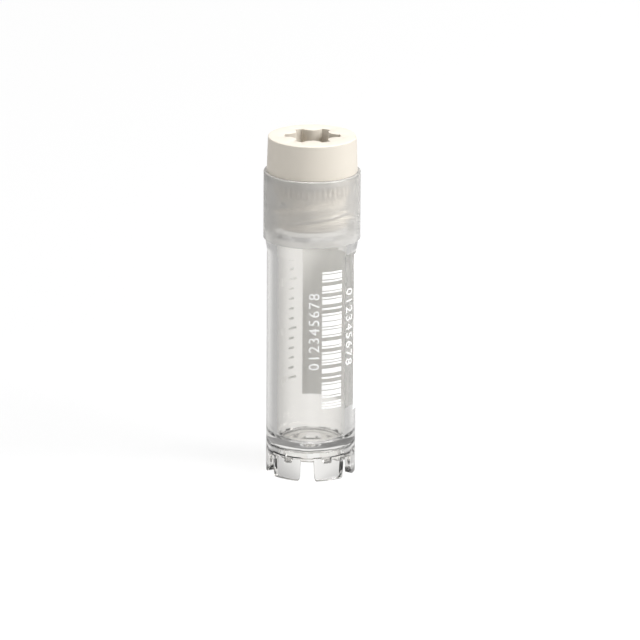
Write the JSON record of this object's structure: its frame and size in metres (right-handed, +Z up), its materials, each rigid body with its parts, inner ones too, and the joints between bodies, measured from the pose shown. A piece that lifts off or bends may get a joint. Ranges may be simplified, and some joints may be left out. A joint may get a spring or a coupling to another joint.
{
  "type": "cryogenic storage vial",
  "caption": "Clear cryogenic tube with a wide frosted neck, slotted star foot and printed code, closed by a cream internal-thread screw cap with a six-lobed drive socket.",
  "frame": {"origin": "centre of the foot, on the plane of the feet and on the axis of the tube", "axes": "+Z up along the axis of the tube, -Y the front with the bar code to its right, +X to the right"},
  "size_m": [0.0136, 0.0134, 0.0483],
  "materials": {
    "clear_polypropylene": "clear gloss body, fine frost on the neck",
    "cap_polypropylene": "smooth satin, opaque cream",
    "silicone": "matte, translucent grey",
    "white_ink": "flat printed ink"
  },
  "bodies": {
    "tube": {"tube": "clear_polypropylene", "writing_panel": "white_ink", "barcode": "white_ink", "code_digits_left": "white_ink", "code_digits_right": "white_ink", "graduation": "white_ink", "graduation_digits": "white_ink"},
    "ring": {"gasket": "silicone"},
    "cap": {"cap": "cap_polypropylene"}
  },
  "joints": [
    {"name": "cap_lift", "type": "slide", "parent": "tube", "child": "ring", "axis": [0, 0, 1], "range_m": [0, 0.0108]},
    {"name": "cap_turn", "type": "hinge", "parent": "ring", "child": "cap", "pos_m": [0, 0, 0.044], "axis": [0, 0, 1], "range_deg": [0, 810]}
  ],
  "couplings": [
    {"joint": "cap_turn", "follows": "cap_lift", "rad_per_m": 1309}
  ]
}
